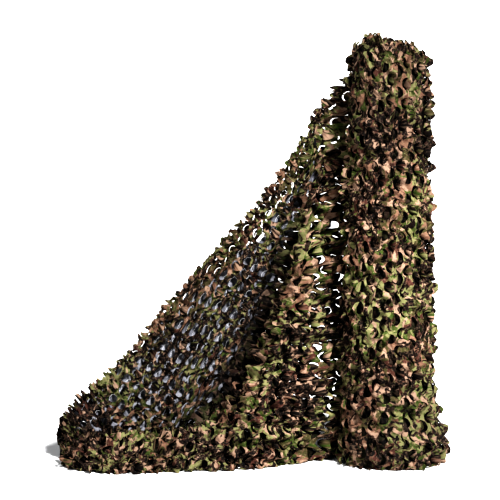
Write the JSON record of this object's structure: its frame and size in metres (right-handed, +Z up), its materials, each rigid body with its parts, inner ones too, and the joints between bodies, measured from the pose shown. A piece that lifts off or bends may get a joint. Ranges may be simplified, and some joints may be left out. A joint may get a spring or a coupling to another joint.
{
  "type": "roll of die-cut camouflage netting with its loose end drawn off",
  "caption": "Upright roll of leaf-cut camouflage netting, its loose end draped from the roll's side down to the floor.",
  "frame": {"origin": "middle of the joint box of the roll and its loose end, on the floor", "axes": "+Z up along the standing roll, +X to the roll from the loose end's tip, -Y towards the viewer"},
  "size_m": [1.372, 0.4372, 1.4703],
  "materials": {
    "wound_cloth": "matt printed cloth, mottled tan, green and brown",
    "loose_cloth": "matt printed cloth, mottled tan, green and brown"
  },
  "bodies": {
    "root": {"net_roll": "wound_cloth", "net_loose_end": "loose_cloth"}
  },
  "joints": []
}
